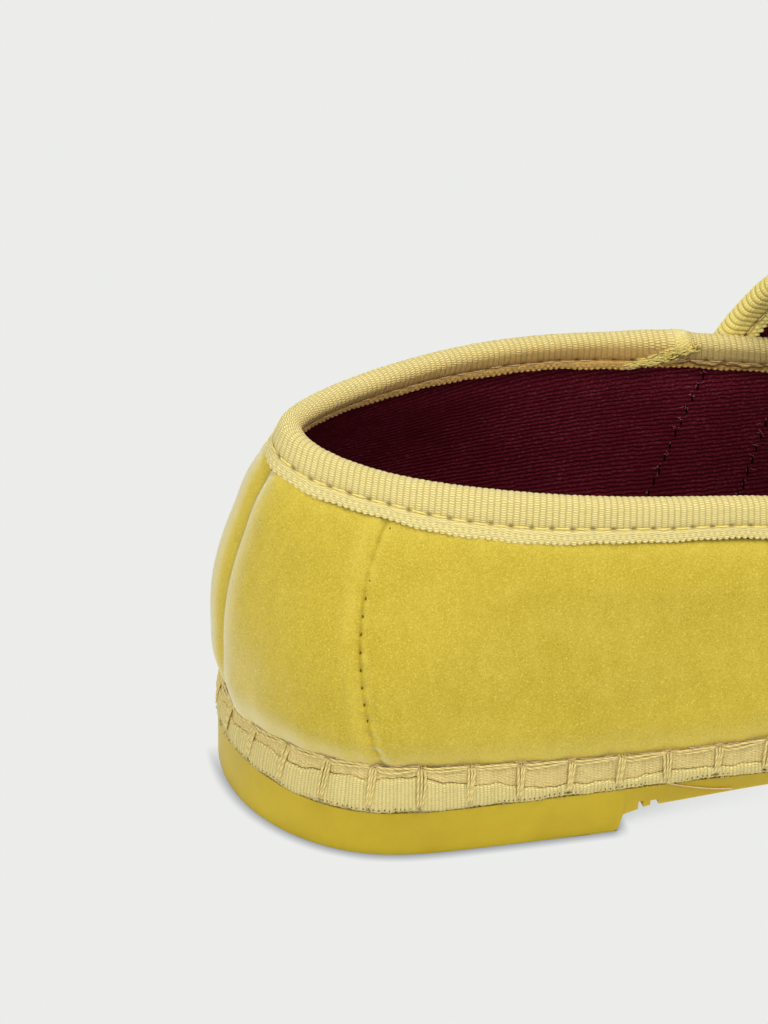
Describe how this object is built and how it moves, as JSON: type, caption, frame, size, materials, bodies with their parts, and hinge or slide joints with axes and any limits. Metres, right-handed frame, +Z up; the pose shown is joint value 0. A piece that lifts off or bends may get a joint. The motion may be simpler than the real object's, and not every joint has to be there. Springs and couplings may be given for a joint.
{
  "type": "mary jane shoe",
  "caption": "Flat velvet mary jane for the right foot, with a fixed instep strap, taped collar, stitched welt tape and a thin rubber sole with a low heel.",
  "frame": {"origin": "centre of the footprint's bounding box, on the ground", "axes": "+X from heel to toe, +Y to the inner (medial) side of the right foot, +Z up"},
  "size_m": [0.253, 0.089, 0.0827],
  "materials": {
    "rubber": "satin moulded rubber",
    "textile": "pressed cloth layers",
    "tape": "ribbed tape",
    "velvet": "cotton velvet",
    "lining": "twill"
  },
  "bodies": {
    "root": {"outsole": "rubber", "midsole": "textile", "welt_tape": "tape", "upper": "velvet", "insole": "lining", "collar_tape": "tape", "strap": "velvet", "strap_tape_rear": "tape", "strap_tape_front": "tape"}
  },
  "joints": []
}
